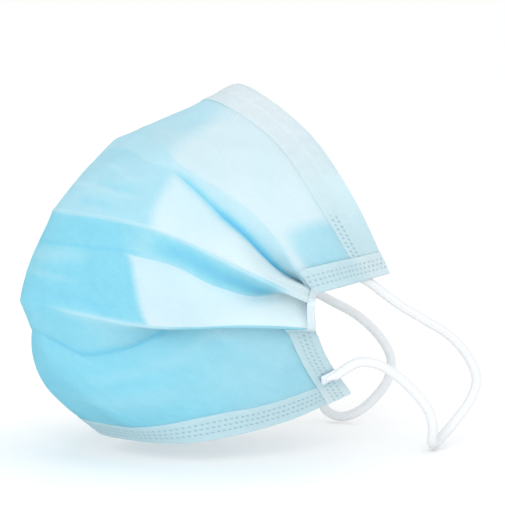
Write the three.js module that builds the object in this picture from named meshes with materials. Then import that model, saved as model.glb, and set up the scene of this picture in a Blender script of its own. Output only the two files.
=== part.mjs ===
// A disposable face mask, opened out and shaped as it is when it is worn.
// Millimetres. +Z is up, the front of the mask faces -Y, and the wearer's left is +X.
// The origin is the centre of the face opening.
import * as THREE from 'three';

// ---------------------------------------------------------------- sizes
const WALL = 1.0;            // thickness of one layer of cloth
const GAP = 0.4;             // clearance between neighbouring pieces
const HALF_WIDTH = 87.5;     // from the middle to a side edge, along the cloth
const FOLD_TIP = 1.4;        // width of the blunt tip of a fold
const SHUT_ANGLE = 158;      // how far a shut pleat folds back, in degrees
const NOSE_HEM = 11;         // width of the nose hem
const CHIN_HEM = 8;          // width of the chin hem
const BINDING = 8.5;         // width of a side binding
const GATHERED = 3;          // its width in front, where the pleats run out to the edge
const WIRE_WIDTH = 3.5;      // the nose wire is a flat strip
const WIRE_THICKNESS = 0.9;
const WIRE_REACH = 50;       // from the middle of the wire to either end
const CORD = 3.0;            // diameter of an ear loop

// The lines that run from side to side, top to bottom. The nose edge and the chin
// edge are the outer edges of the hems, the others are the lower lips of the pleats.
// Given on the wearer's left: [y, z] at the centre and [x, y, z] elsewhere.
const LINES = [
  { name: 'nose edge', centre: [-6, 59], ridge: [28, 3, 46], cheek: [43, 10, 28], side: [35, 25, 6] },
  { name: 'lip 1', centre: [-38, 45], ridge: [29, -37, 37], cheek: [42, -20, 23], side: [46, -4, 1.5] },
  { name: 'lip 2', centre: [-63, 23], ridge: [32, -46, 18.5], cheek: [52, -25, 6], side: [55, -8, -0.3] },
  { name: 'lip 3', centre: [-73, -2], ridge: [32, -49, -7], cheek: [48, -27, -7], side: [51, -6, -7.5] },
  { name: 'chin edge', centre: [-49, -41], ridge: [26, -33, -41], cheek: [32, -7, -36], side: [30, 15, -29] },
];

// The pleats under the three lips. depths gives how far the cloth folds back under the
// lip, each at a share of the half width. A pleat is as shut as at_centre says up to
// opens_at, and fully shut from shut_at on. A negative at_centre bends the opened pleat
// outward a little.
const PLEATS = [
  {
    name: 'pleat 1',
    depths: [[0, 6], [0.2, 5], [0.36, 2], [0.7, 7], [1, 8]],
    at_centre: -0.04, opens_at: 0.36, shut_at: 1,
  },
  {
    name: 'pleat 2',
    depths: [[0, 8.5], [1, 8.5]],
    at_centre: -0.02, opens_at: 0.3, shut_at: 1,
  },
  {
    name: 'pleat 3',
    depths: [[0, 5], [0.42, 9.5], [0.6, 8], [1, 8]],
    at_centre: -0.08, opens_at: 0.3, shut_at: 0.6,
  },
];

// The panels between the folds: how far the middle stands out past the straight
// line, at the centre and at the sides, how far that bulge is shifted to the top, and
// how many steps it is drawn in.
const PANELS = [
  { name: 'nose panel', centre: -0.2, side: 1, skew: 0, steps: 4 },
  { name: 'upper panel', centre: 1, side: -0.5, skew: 0, steps: 3 },
  { name: 'middle panel', centre: 0.5, side: 0.5, skew: 0, steps: 2 },
  { name: 'chin panel', centre: 4.2, side: 1.5, skew: 0.1, steps: 5 },
];

// Where the sections are taken, as a share of the half width.
const STATIONS = [
  0, 0.07, 0.14, 0.21, 0.28, 0.35, 0.42, 0.49, 0.56, 0.63, 0.7, 0.77, 0.83, 0.88, 0.92, 0.955,
];
const PANEL_END = 1 - (2 * WALL + GAP) / HALF_WIDTH;
const BINDING_START = 1 - BINDING / HALF_WIDTH;
const GATHERED_START = 1 - GATHERED / HALF_WIDTH;
const BINDING_OFFSET = WALL + 2 * GAP;
const HEM_END = BINDING_START - (WALL + GAP) / HALF_WIDTH;

// ---------------------------------------------------------------- vector helpers
const along = (a, b, t) => a.clone().lerp(b, t);
const minus = (a, b) => a.clone().sub(b);
const cross = (a, b) => a.clone().cross(b);
const shifted = (p, d, t) => p.clone().addScaledVector(d, t);
const mirrored = (p) => new THREE.Vector3(-p.x, p.y, p.z);
const rise = (a, b, t) => THREE.MathUtils.clamp((t - a) / (b - a), 0, 1);

function toward(a, b, distance) {
  return shifted(a, minus(b, a).normalize(), distance);
}

function squared(d, h) {
  return shifted(d, h, -d.dot(h)).normalize();
}

// ---------------------------------------------------------------- the lines
const CURVES = LINES.map((line) => {
  const left = [line.ridge, line.cheek, line.side].map((p) => new THREE.Vector3(...p));
  const right = left.map(mirrored).reverse();
  const centre = new THREE.Vector3(0, ...line.centre);
  return new THREE.CatmullRomCurve3([...right, centre, ...left], false, 'centripetal');
});

function lineAt(k, s) {
  return CURVES[k].getPointAt(0.5 + 0.5 * s);
}

function lineDirection(k, s) {
  return CURVES[k].getTangentAt(0.5 + 0.5 * s);
}

// ---------------------------------------------------------------- one section
function depthAt(pleat, s) {
  const next = Math.max(1, pleat.depths.findIndex(([share]) => share >= s));
  const [from, to] = pleat.depths.slice(next - 1, next + 1);
  return THREE.MathUtils.lerp(from[1], to[1], rise(from[0], to[0], s));
}

// The folds at share s, top to bottom: [nose edge], the two sides of each fold's
// blunt tip, and [chin edge].
function foldsAt(s) {
  const folds = [[lineAt(0, s)]];
  for (const [k, pleat] of PLEATS.entries()) {
    const lip = lineAt(k + 1, s);
    const below = lineAt(k + 2, s);
    const h = lineDirection(k + 1, s);
    const before = folds[folds.length - 1];
    const d = squared(minus(lip, before[before.length - 1]), h);
    const inward = cross(h, d);
    const turned = (a) => d.clone().multiplyScalar(Math.cos(a)).addScaledVector(inward, Math.sin(a));
    const angleOf = (v) => Math.atan2(v.dot(inward), v.dot(d));
    const open = angleOf(minus(below, lip));
    const shut = THREE.MathUtils.lerp(pleat.at_centre, 1, rise(pleat.opens_at, pleat.shut_at, s) ** 2);
    const angle = open + (THREE.MathUtils.degToRad(SHUT_ANGLE) + Math.min(open, 0) - open) * shut;
    const back = shifted(lip, turned(angle), depthAt(pleat, s));
    const across = turned((angle + angleOf(minus(below, back))) / 2);
    folds.push([shifted(lip, turned(angle / 2), -FOLD_TIP), lip]);
    folds.push([shifted(back, across, -FOLD_TIP / 2), shifted(back, across, FOLD_TIP / 2)]);
  }
  folds.push([lineAt(4, s)]);
  return folds;
}

// Points from a to b, not counting either, standing out past the straight line.
function panelPoints(a, b, panel, s, h) {
  const bulge = THREE.MathUtils.lerp(panel.centre, panel.side, s);
  const outward = cross(squared(minus(b, a), h), h);
  const points = [];
  for (let i = 1; i < panel.steps; i += 1) {
    const t = i / panel.steps;
    const stand = bulge * 4 * t * (1 - t) * (1 + panel.skew * (1 - 2 * t));
    points.push(shifted(along(a, b, t), outward, stand));
  }
  return points;
}

// The whole section from the nose edge to the chin edge. The cloth is straight under
// the two hems: the second point is the foot of the nose hem and the last but one
// is the foot of the chin hem.
function sectionAt(s) {
  const folds = foldsAt(s);
  const nose = folds[0][0];
  const chin = folds[7][0];
  const noseFoot = toward(nose, folds[1][0], NOSE_HEM);
  const chinAim = panelPoints(folds[6][1], chin, PANELS[3], s, lineDirection(4, s)).pop();
  const chinFoot = toward(chin, chinAim, CHIN_HEM);
  const points = [nose, noseFoot];
  points.push(...panelPoints(noseFoot, folds[1][0], PANELS[0], s, lineDirection(1, s)));
  points.push(...folds[1], ...folds[2]);
  points.push(...panelPoints(folds[2][1], folds[3][0], PANELS[1], s, lineDirection(2, s)));
  points.push(...folds[3], ...folds[4]);
  points.push(...panelPoints(folds[4][1], folds[5][0], PANELS[2], s, lineDirection(3, s)));
  points.push(...folds[5], ...folds[6]);
  points.push(...panelPoints(folds[6][1], chinFoot, PANELS[3], s, lineDirection(4, s)));
  points.push(chinFoot, chin);
  return points;
}

// The cloth itself stops short of the outer edges of the hems.
function clothAt(s) {
  const points = sectionAt(s);
  const last = points.length - 1;
  points[0] = toward(points[0], points[1], WALL + 2 * GAP + WIRE_WIDTH);
  points[last] = toward(points[last], points[last - 1], WALL + GAP);
  return points;
}

// ---------------------------------------------------------------- walls from rows
// rows[i][j] is the middle of a wall: i runs from side to side, j runs down. The
// normals stand on its front, and are stretched at a fold so that the wall keeps
// its thickness there.
function normalsOf(rows) {
  const step = (i, j, di, dj) => {
    const next = rows[i + di] && rows[i + di][j + dj];
    return next ? minus(next, rows[i][j]).multiplyScalar(di + dj) : null;
  };
  return rows.map((row, i) => row.map((p, j) => {
    const across = [step(i, j, 1, 0), step(i, j, -1, 0)].filter(Boolean);
    const down = [step(i, j, 0, 1), step(i, j, 0, -1)].filter(Boolean);
    const faces = down.flatMap((d) => across.map((h) => cross(d, h).normalize()));
    const normal = faces.reduce((sum, n) => sum.add(n), new THREE.Vector3()).normalize();
    const least = Math.min(...faces.map((n) => n.dot(normal)));
    return normal.divideScalar(Math.max(least, 0.5));
  }));
}

function offset(rows, distance) {
  const normals = normalsOf(rows);
  return rows.map((row, i) => row.map((p, j) => shifted(p, normals[i][j], distance)));
}

// A closed wall round the rows: both faces and the rim all round. Each quad is split
// along its shorter diagonal, so that walls that lie on each other stay parallel.
function walled(rows, thickness) {
  const n = rows.length;
  const m = rows[0].length;
  const points = [...offset(rows, thickness / 2), ...offset(rows, -thickness / 2)].flat();
  const front = (i, j) => i * m + j;
  const back = (i, j) => n * m + i * m + j;
  const index = [];
  const span = (a, b) => points[a].distanceTo(points[b]);
  const quad = (a, b, c, d) => {
    const split = span(a, c) <= span(b, d) ? [a, b, c, a, c, d] : [b, c, d, b, d, a];
    index.push(...split);
  };
  for (let i = 0; i < n - 1; i += 1) {
    for (let j = 0; j < m - 1; j += 1) {
      quad(front(i, j), front(i, j + 1), front(i + 1, j + 1), front(i + 1, j));
      quad(back(i, j), back(i + 1, j), back(i + 1, j + 1), back(i, j + 1));
    }
    quad(front(i, 0), front(i + 1, 0), back(i + 1, 0), back(i, 0));
    quad(front(i + 1, m - 1), front(i, m - 1), back(i, m - 1), back(i + 1, m - 1));
  }
  for (let j = 0; j < m - 1; j += 1) {
    quad(front(0, j + 1), front(0, j), back(0, j), back(0, j + 1));
    quad(front(n - 1, j), front(n - 1, j + 1), back(n - 1, j + 1), back(n - 1, j));
  }
  const geometry = new THREE.BufferGeometry();
  const position = points.flatMap((p) => [p.x, p.y, p.z]);
  geometry.setAttribute('position', new THREE.Float32BufferAttribute(position, 3));
  geometry.setIndex(index);
  geometry.computeVertexNormals();
  return geometry;
}

// The same rows on the wearer's right, from the side edge in.
function otherSide(rows) {
  return rows.map((row) => row.map(mirrored)).reverse();
}

// Rows from side to side, from one function of the share s on the wearer's left.
function fromSideToSide(shares, rowAt) {
  const left = shares.map(rowAt);
  return [...otherSide(left.slice(1)), ...left];
}

// ---------------------------------------------------------------- hems
// A strip folded over an outer edge: up the front, over the edge and down the back.
// Each row of the section gives [edge, foot], and outer is +1 where the section
// starts at that edge and -1 where it ends there.
function foldedHem(rows, ends) {
  const front = offset(rows, WALL + GAP);
  const back = offset(rows, -WALL - GAP);
  const inset = (list, i) => toward(list[i][ends.edge], list[i][ends.foot], WALL / 2);
  const legs = (i) => {
    const down = [inset(back, i), back[i][ends.foot]];
    const up = [front[i][ends.foot], inset(front, i)];
    return ends.edge === 0 ? [...up, ...down] : [...down.reverse(), ...up.reverse()];
  };
  return walled(rows.map((row, i) => legs(i)), WALL);
}

// ---------------------------------------------------------------- nose wire
function wireAt(s) {
  const [nose, foot] = sectionAt(s);
  const from = WALL + GAP;
  return [toward(nose, foot, from), toward(nose, foot, from + WIRE_WIDTH)];
}

// ---------------------------------------------------------------- side bindings
// A tape folded over a side edge: it lies on the outermost layers in front and the
// innermost layers behind, and goes over the edge between them.
const FRONT_LAYER = [0, 1, 2, 3, 4, 5, 11, 12, 16, 17, 21, 22, 23, 24, 25];
const GATHERED_LAYER = FRONT_LAYER.slice(5, 9);
const BACK_LAYER = [0, 1, 2, 3, [3, 7, 1 / 2], 7, 8, [8, 20, 1 / 3], [8, 20, 2 / 3], 20, 21, 22, 23, 24, 25];

function layerPoint(section, pick) {
  return pick.length ? along(section[pick[0]], section[pick[1]], pick[2]) : section[pick];
}

// The rows of one leg of the tape, from startOf(pick) to the side edge.
function leg(picks, startOf) {
  return [0, 0.3, 0.65, 1].map((t) => picks.map((pick) => {
    const start = startOf(pick);
    return layerPoint(sectionAt(start + (1 - start) * t), pick);
  }));
}

function bindingRows() {
  const frontStart = (pick) => (GATHERED_LAYER.includes(pick) ? GATHERED_START : BINDING_START);
  const front = offset(leg(FRONT_LAYER, frontStart), BINDING_OFFSET);
  const back = offset(leg(BACK_LAYER, () => BINDING_START), -BINDING_OFFSET);
  return [...front, ...back.reverse()];
}

// ---------------------------------------------------------------- ear loops
// The route of the left loop, from its weld on the inner face of the binding at the
// upper corner, down and round, to its weld on the outer face at the lower corner.
const LOOP_ROUTE = [
  [35.5, 9, 9], [34.5, 13.2, 5.4], [34.3, 18.5, 2.5], [34, 24.2, -0.8], [33.2, 29.8, -4],
  [32, 38, -8.5], [30.5, 47.5, -14], [29, 54.5, -21], [28, 57.5, -27.5], [27, 56, -33.5],
  [27, 51, -39.5], [28.5, 46, -43.5], [31.5, 42, -45], [35.5, 39, -43.5], [38, 38, -39.5],
  [39, 36, -34], [39, 31, -28], [39.3, 25, -23.5], [40, 18.7, -20.5], [41.2, 12, -19.2],
  [42.3, 7, -20.6], [42, 3, -22.4],
];

function earLoop(side) {
  const points = LOOP_ROUTE.map(([x, y, z]) => new THREE.Vector3(side * x, y, z));
  const extrudePath = new THREE.CatmullRomCurve3(points, false, 'centripetal');
  const steps = Math.round(extrudePath.getLength() / (2 * CORD));
  const corners = [0, 1, 2, 3, 4, 5, 6, 7].map((i) => (i / 8) * 2 * Math.PI);
  const round = corners.map((a) => new THREE.Vector2(Math.cos(a), Math.sin(a)).multiplyScalar(CORD / 2));
  return new THREE.ExtrudeGeometry(new THREE.Shape(round), { steps, extrudePath, bevelEnabled: false });
}

// ---------------------------------------------------------------- materials
function finish(name, color, roughness, metalness) {
  return new THREE.MeshStandardMaterial({ name, color, roughness, metalness });
}

const BLUE = finish('blue nonwoven', 0x9fdcf4, 0.9, 0);
const WHITE = finish('white nonwoven', 0xe9f3f7, 0.9, 0);
const ELASTIC = finish('white elastic', 0xf6f6f6, 0.9, 0);
const SILVER = finish('bare wire strip', 0xd8dcdf, 0.5, 1);

// ---------------------------------------------------------------- the mask
const group = new THREE.Group();

function add(name, geometry, material) {
  const mesh = new THREE.Mesh(geometry, material.clone());
  mesh.name = name;
  group.add(mesh);
}

const wireEnd = WIRE_REACH / HALF_WIDTH;
const wireShares = [...STATIONS.filter((s) => s < wireEnd - 0.01), wireEnd];
const hemRows = fromSideToSide([...STATIONS.filter((s) => s < HEM_END - 0.01), HEM_END], sectionAt);
const binding = bindingRows();

add('pleated_panel', walled(fromSideToSide([...STATIONS, PANEL_END], clothAt), WALL), BLUE);
add('nose_hem', foldedHem(hemRows, { edge: 0, foot: 1 }), WHITE);
add('chin_hem', foldedHem(hemRows, { edge: 25, foot: 24 }), WHITE);
add('nose_wire', walled(fromSideToSide(wireShares, wireAt), WIRE_THICKNESS), SILVER);
add('side_binding_left', walled(binding, WALL), WHITE);
add('side_binding_right', walled(otherSide(binding), WALL), WHITE);
add('ear_loop_left', earLoop(1), ELASTIC);
add('ear_loop_right', earLoop(-1), ELASTIC);

export default group;
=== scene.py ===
"""A disposable face mask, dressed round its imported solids.

+Z is up, the front of the mask faces -Y and the wearer's left is +X. The cloth is laid out
in millimetres along the lips and edges of the solids, in finer steps, with the two lower
lips a little higher over the cheeks. It becomes metres when its mesh is made.
"""

import math

import bpy
import numpy as np
from mathutils import Matrix, Vector


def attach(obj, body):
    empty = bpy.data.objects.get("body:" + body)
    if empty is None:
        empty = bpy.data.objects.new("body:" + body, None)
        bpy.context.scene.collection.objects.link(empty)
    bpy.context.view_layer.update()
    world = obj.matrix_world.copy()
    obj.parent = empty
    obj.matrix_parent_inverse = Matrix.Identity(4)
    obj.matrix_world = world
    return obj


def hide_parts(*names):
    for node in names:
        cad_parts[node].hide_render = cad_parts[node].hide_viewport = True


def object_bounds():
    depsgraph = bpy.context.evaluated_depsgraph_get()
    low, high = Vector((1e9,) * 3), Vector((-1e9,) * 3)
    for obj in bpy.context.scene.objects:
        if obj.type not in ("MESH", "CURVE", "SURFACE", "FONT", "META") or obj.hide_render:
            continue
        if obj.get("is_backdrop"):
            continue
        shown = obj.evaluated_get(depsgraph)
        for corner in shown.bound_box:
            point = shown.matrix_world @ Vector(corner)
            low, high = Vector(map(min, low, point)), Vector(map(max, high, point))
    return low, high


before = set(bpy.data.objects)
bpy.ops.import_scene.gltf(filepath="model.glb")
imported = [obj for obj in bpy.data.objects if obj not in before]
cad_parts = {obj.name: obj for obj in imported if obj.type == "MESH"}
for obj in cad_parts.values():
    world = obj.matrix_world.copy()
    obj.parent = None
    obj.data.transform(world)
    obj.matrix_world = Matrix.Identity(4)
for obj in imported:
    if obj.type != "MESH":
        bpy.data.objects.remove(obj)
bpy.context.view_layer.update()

MM = 0.001


def table(columns, *rows):
    """The rows of a table, each as a dictionary with the names of the columns."""
    return [dict(zip(columns.split(), row)) for row in rows]


# ---- sizes, in millimetres
HALF_WIDTH = 87.5  # from the middle to a side edge, along the cloth
CLOTH = 0.45  # thickness of the three layers of the panel together
STRIP = 0.14  # thickness of one layer of hem or binding
SHUT_ANGLE = math.radians(171)  # how far a shut pleat folds back
PRESSED = (0.88, 0.96)  # where the pleats are pressed flat, as shares of the half width
PRESSED_ANGLE = math.radians(177)
PRESSED_TIP = 0.55  # the distance between two layers pressed flat
LIP_TIP = 0.8  # width of the round tip of a lip
BACK_TIP = 0.7  # width of the round tip at the back of a shut pleat
NEAR_SIDE = (0.7, 1)  # where the nose hem widens and the chin is drawn in
NOSE_HEM = 11.0
NOSE_HEM_AT_SIDE = 12.4
CHIN_HEM = 8.0
CHIN_SLOPE_AT = 0.8  # the share of the chin panel that the chin hem takes its slope from
HEM_RISE = 0.31  # from the middle of the cloth to the middle of a hem's leg
HEM_END = 0.975  # where the hems end inside the bindings, as a share of the half width
CLOTH_END = 0.984  # where the cloth ends inside the bindings
WIRE_START = 1.4  # from the nose edge to the wire
WIRE_WIDTH = 3.5
WIRE_REACH = 50.0  # from the middle of the wire to either end
WIRE_RISE = 0.28  # how far the wire lifts the hem
WIRE_FADE = 0.7  # how softly the hem comes down beside the wire
WIRE_END_FADE = 1.5
PAST_WIRE = 0.4  # from the wire to the panel's own edge inside the nose hem
PAST_CHIN = 0.9  # from the chin edge to the panel's own edge inside the chin hem
BINDING = 8.5  # width of a side binding
BINDING_RISE = 0.62  # from the middle of the cloth to the middle of a binding's leg
BINDING_BEND = 0.6  # how far the binding's bend stands out past the cloth
GATHERED = 2.2  # width of the binding in front, where the pleats run out to the edge
NARROWS = (-0.02, 0.01)  # where it gets narrow, before and after the first of these pleats
WIDENS = (-0.005, 0.02)  # and wide again at the last one, as shares of its length
CORD = 3.0  # diameter of an ear loop
FLATTENED = 4.0  # how far from its ends an ear loop starts to flatten
SLIMMEST = 0.4  # what is left of its diameter there, inside the weld

# The lines that run from side to side, from the nose edge to the chin edge: (y, z) at the
# centre and (x, y, z) elsewhere, on the wearer's left.
LINES = table(
    "name centre ridge cheek side",
    ("nose", (-6, 59), (28, 3, 46), (43, 10, 28), (35, 25, 6)),
    ("lip 1", (-38, 45), (29, -37, 37), (42, -20, 23), (46, -4, 1.5)),
    ("lip 2", (-63, 23), (32, -46, 19.4), (52, -25, 7.6), (55, -8, -0.3)),
    ("lip 3", (-73, -2), (32, -49, -7), (48, -27, -6.1), (51, -6, -7.5)),
    ("chin", (-49, -41), (26, -33, -41), (32, -7, -36), (30, 15, -29)),
)

# The pleats under the three lips: how far the cloth folds back under the lip, along the
# half width, and how much that is eased into curves; how far the pleat is shut at the
# centre, where less than 0 is pulled open past flat, from where to where it closes, and
# how late between the two; and the width of its round back where it is open.
PLEATS = [
    {
        "name": "pleat 1",
        "depths": [(0, 6), (0.2, 5), (0.36, 1.9), (0.62, 5.3), (0.85, 4.9), (1, 5.2)],
        "eased": 1.0,
        "closes": {"at_centre": -0.04, "start": 0.36, "end": 0.98, "lateness": 2.6},
        "back_tip": 0.8,
    },
    {
        "name": "pleat 2",
        "depths": [(0, 8.5), (0.2, 7.9), (0.36, 6.9), (0.54, 5.8), (0.7, 7.1), (0.85, 8.4), (1, 8.5)],
        "eased": 1.0,
        "closes": {"at_centre": -0.02, "start": 0.3, "end": 0.96, "lateness": 3.0},
        "back_tip": 2.4,
    },
    {
        "name": "pleat 3",
        "depths": [(0, 7.5), (0.08, 7.9), (0.25, 11.3), (0.36, 9.4), (0.45, 8.5), (1, 8)],
        "eased": 0.25,
        "closes": {"at_centre": -0.08, "start": 0.2, "end": 0.64, "lateness": 2.0},
        "back_tip": 1.6,
    },
]

# The panels between the folds: how far the middle stands out past the straight line, at
# the centre and at the sides, how far the side edge is drawn in, how far this arch leans
# towards the top, and in how many steps the panel is drawn.
PANELS = table(
    "name centre side drawn_in skew steps",
    ("nose panel", -0.2, 1.0, 0.0, 0.0, 30),
    ("upper panel", 1.0, 0.3, 0.0, 0.0, 24),
    ("middle panel", 0.5, 0.5, 0.0, 0.0, 24),
    ("chin panel", 4.2, 0.6, 2.4, 0.1, 34),
)
TIP_STEPS = 7  # round a lip or a pleat back
UNDER_STEPS = 6  # between the two
HEM_STEPS = 4  # from the panel's own edge to the foot of a hem
TO_THE_FOLDS = 0.7  # how strongly the steps of a panel crowd towards its folds
STRAIGHT = 0.01  # a turn of fewer radians is drawn straight
SHARP_EDGE = math.radians(60)
CLOTH_STEPS = 110  # from the middle to one side
HEM_SECTIONS = 230  # from the middle to one side
HEM_LEG = 34  # across one leg of a hem
HEM_TURN = 6  # round its bend
LEAST_STEP = 0.01  # between two points of its flat layout
BINDING_SECTIONS = 12  # of cloth, that a binding is laid on
PAST_BINDING = 0.01  # how far before it they start, as a share of the half width
BINDING_POINTS = 250  # down a binding
BINDING_STEPS = 22  # across one leg of it
BINDING_TURN = 5  # round its bend

# How pale the blue is painted, as painted light and painted shade: 1 is palest, 0 is full
# blue and less than 0 is a deeper blue, painted shade deep in a pleat. Each stretch of cloth
# has one value over the middle of the mask and, past the cheek ridge, a value at its top and
# one at its foot. The panels that face up and the cheeks past the ridge are painted paler, as
# if lit, and the pleats folded under are painted bluer, as if in shade. The ridge lies at
# these shares of the half width, at the top and the foot of the stretch, and blur is how
# softly it parts them.
TONES = table(
    "part middle cheek ridge blur",
    ("nose panel", 0.6, (1.0, 1.0), (0.12, 0.30), 0.07),
    ("pleat 1", 0.55, (0.8, 0.45), (0.30, 0.36), 0.04),
    ("upper panel", 0.42, (0.93, 0.96), (0.36, 0.41), 0.03),
    ("pleat 2", 0.0, (0.15, 0.3), (0.34, 0.36), 0.06),
    ("middle panel", -0.02, (0.8, 0.95), (0.35, 0.48), 0.02),
    ("pleat 3", 0.05, (0.2, 0.15), (0.25, 0.35), 0.1),
    ("chin panel", -0.03, (0.3, 0.3), (0.5, 0.5), 0.35),
)
RIDGE_RISE = 0.8  # how far the cheek ridge stands out
RIDGE_REACH = 0.05  # how far it runs out to either side, as a share of the half width
GATHER = (0.84, 0.93)  # where the gathered pleats are painted white towards the side, painted light over the shade in their folds
PAINTED_WHITE_REACH = (0.5, 0.95)  # where the cloth between them is painted whiter still, more painted light
CLOUDINESS = 0.05  # how far the blue drifts from place to place

# A patch of painted shade on the nose panel beside the bindings, where its paleness is taken
# back towards full blue: its middle and its reach as shares of the half width and of the
# panel, and how softly it fades at its outline.
PATCH = {"middle": (0.87, 0.3), "reach": (0.15, 0.55), "tone": 0.42, "fade": (0.65, 1.1)}
PATCH_CORNERS = 3  # 2 is an oval, and more is squarer

# The pressed edges that stay sharp in the opened mask, at the lip, the back or the under
# side of a pleat, with a painted highlight along a lip and painted shade along a back or
# under a lip: from where to where along the half width, and how bright (the painted light or
# shade), high and wide.
EDGES = table(
    "part end shares tone height width",
    ("pleat 1", "back", (0.33, 0.95), -0.6, 0.0, 1.3),
    ("pleat 1", "back", (0.5, 0.98), -0.65, 0.0, 1.7),
    ("pleat 2", "lip", (-1, 0.9), 0.5, 0.2, 0.5),
    ("pleat 2", "under", (0.4, 0.97), -0.52, 0.0, 2.6),
    ("pleat 2", "back", (-1, 0.45), -0.2, 0.0, 0.5),
    ("pleat 3", "lip", (0.1, 0.62), 0.4, 0.15, 0.8),
    ("pleat 3", "back", (0.05, 0.6), -0.32, 0.0, 0.9),
)
EDGE_FADE = 0.12  # how softly they end, as a share of the half width

# Faint creases left in the opened panels, with painted highlights and painted shade along
# them: where on the panel, as a share from its top, from where to where along the half
# width, how high, how bright and how wide.
CREASES = table(
    "on at shares height tone width",
    ("nose panel", 0.80, (0.02, 0.26), 0.12, 0.12, 0.8),
    ("upper panel", 0.30, (0.0, 0.34), 0.16, 0.14, 0.8),
    ("upper panel", 0.52, (0.08, 0.32), -0.1, -0.16, 1.0),
    ("upper panel", 0.62, (0.0, 0.36), 0.12, 0.16, 0.7),
    ("upper panel", 0.82, (0.06, 0.30), -0.1, -0.22, 1.3),
    ("middle panel", 0.12, (0.0, 0.24), 0.0, 0.22, 2.6),
    ("middle panel", 0.50, (0.0, 0.24), 0.14, 0.2, 0.8),
    ("middle panel", 0.80, (0.1, 0.42), -0.08, -0.12, 1.2),
    ("chin panel", 0.30, (0.2, 0.75), 0.10, 0.12, 2.0),
    ("chin panel", 0.62, (0.05, 0.5), 0.08, 0.1, 2.5),
)
CREASE_START = 0.06  # how softly they begin and end, as shares of the half width
CREASE_END = 0.1
CREASE_WANDER = 0.4  # how far they stray from a straight line

# Where the cloth is held: the shares of a panel, from its top, where the hold of the pleat
# above ends and that of the pleat below begins, and the shares of the half width where the
# pleats start to hold and the puckers start.
HELD_ABOVE = (0.1, 0.4)
HELD_BELOW = (0.6, 0.9)
HELD = (0.3, 0.55)
PUCKERED = (0.72, 0.9)

# Hot-pressed welds, in rows at these distances from the edge.
WELD_PITCH = 1.7
WELD_LENGTH = 0.8
WELD_WIDTH = 0.5
WELD_DEPTH = 0.13
CHIN_WELDS = (2.5, 4.1, 5.7)
BINDING_WELDS = (2.4, 4.1, 5.8)
NOSE_WELDS = (8.0, 9.6)
NOSE_WELDS_FROM = 0.72  # the share of the half width where they begin
WELD_FADE = 0.02
WELD_SLOPE = (0.3, 0.75)  # from its floor to its brim, in widths of a weld from its middle

# How much of the blue below shows through the white strips: for each hem the amount at
# the centre and towards the sides, for the bindings the amount over the panel alone, over
# the hems as well, and over the gathered pleats.
NOSE_SHEER = (0.05, 0.5)
CHIN_SHEER = (0.6, 0.55)
SHEER_CHANGES = (0.2, 0.85)  # where a hem goes from the one to the other
BINDING_SHEER = {"panel": 0.5, "hems": 0.2, "gather": 0.0}
NOSE_HEM_ENDS = (0.08, 0.13)  # where the hem below a binding fades out, as shares of its length
CHIN_HEM_STARTS = (0.92, 0.95)

# The route of the left ear loop, from its weld on the inner face of the binding at the
# upper corner, down and round, to its weld on the outer face at the lower corner.
LOOP_ROUTE = [
    (39.1, 10.6, 9.2), (38.1, 12.2, 6.5), (36.8, 14.8, 5.3), (35.2, 19.4, 2.9), (34, 24.6, -0.6),
    (33.2, 29.8, -4), (32, 38, -8.5), (30.5, 47.5, -14), (29, 54.5, -21), (28, 57.5, -27.5),
    (27, 56, -33.5), (27, 51, -39.5), (28.5, 46, -43.5), (31.5, 42, -45), (35.5, 39, -43.5),
    (38, 38, -39.5), (39, 36, -34), (39, 31, -28), (39.3, 25, -23), (40, 18.7, -19.6),
    (39.5, 13.4, -19), (38.5, 9.4, -21), (37.6, 7, -22.7), (36.9, 4.4, -23.7),
]
# Its flattened ends: where they lie, along the cord, and which way their flat face looks.
PADS = table(
    "name centre along facing",
    ("loop_weld_upper", (39.3, 11.1, 8.8), (-0.26, 0.71, -0.65), (-0.92, -0.39, -0.04)),
    ("loop_weld_lower", (37.0, 5.4, -23.1), (0.0, 0.925, 0.38), (0.87, 0.2, -0.44)),
)
PAD_LENGTH = 5.2
PAD_WIDTH = 3.0
PAD_THICKNESS = 0.9
PAD_EDGE = 0.35  # width of its rounded edges

# The knit of an ear loop: columns of stitches round it, each stitch a low swelling.
WALES = 10
WALE_RISE = 0.05
STITCH = 1.0  # length of one stitch
STITCH_RISE = 0.035
STITCH_SLANT = 1.6  # how far a stitch leans from wale to wale, in radians of its wave
KNIT_DEPTH = 0.09  # from the outside of the loop to the middle of the knit
RING_STEP = 0.22  # between two rings of its mesh
RING_SIDES = 40


# ---- helpers
def unit(v):
    """A vector, or each vector of an array, brought to length 1."""
    return v / np.maximum(np.linalg.norm(v, axis=-1, keepdims=True), 1e-9)


def walk(points):
    """How far each point lies along a polyline, or down its row of a grid."""
    spans = np.linalg.norm(np.diff(points, axis=-2), axis=-1)
    return np.concatenate([np.zeros((*spans.shape[:-1], 1)), np.cumsum(spans, axis=-1)], axis=-1)


def toward(a, b, distance):
    """The point at a distance from a on the way to b."""
    return a + unit(b - a) * distance


def squared(d, h):
    """The direction d, turned square to h."""
    return unit(d - h * np.dot(d, h))


def smooth(a, b, t):
    """0 before a, 1 after b and smooth between, on numbers or arrays."""
    t = np.clip((t - a) / (b - a), 0.0, 1.0)
    return t * t * (3 - 2 * t)


def lerp(a, b, t):
    return a + (b - a) * t


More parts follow.
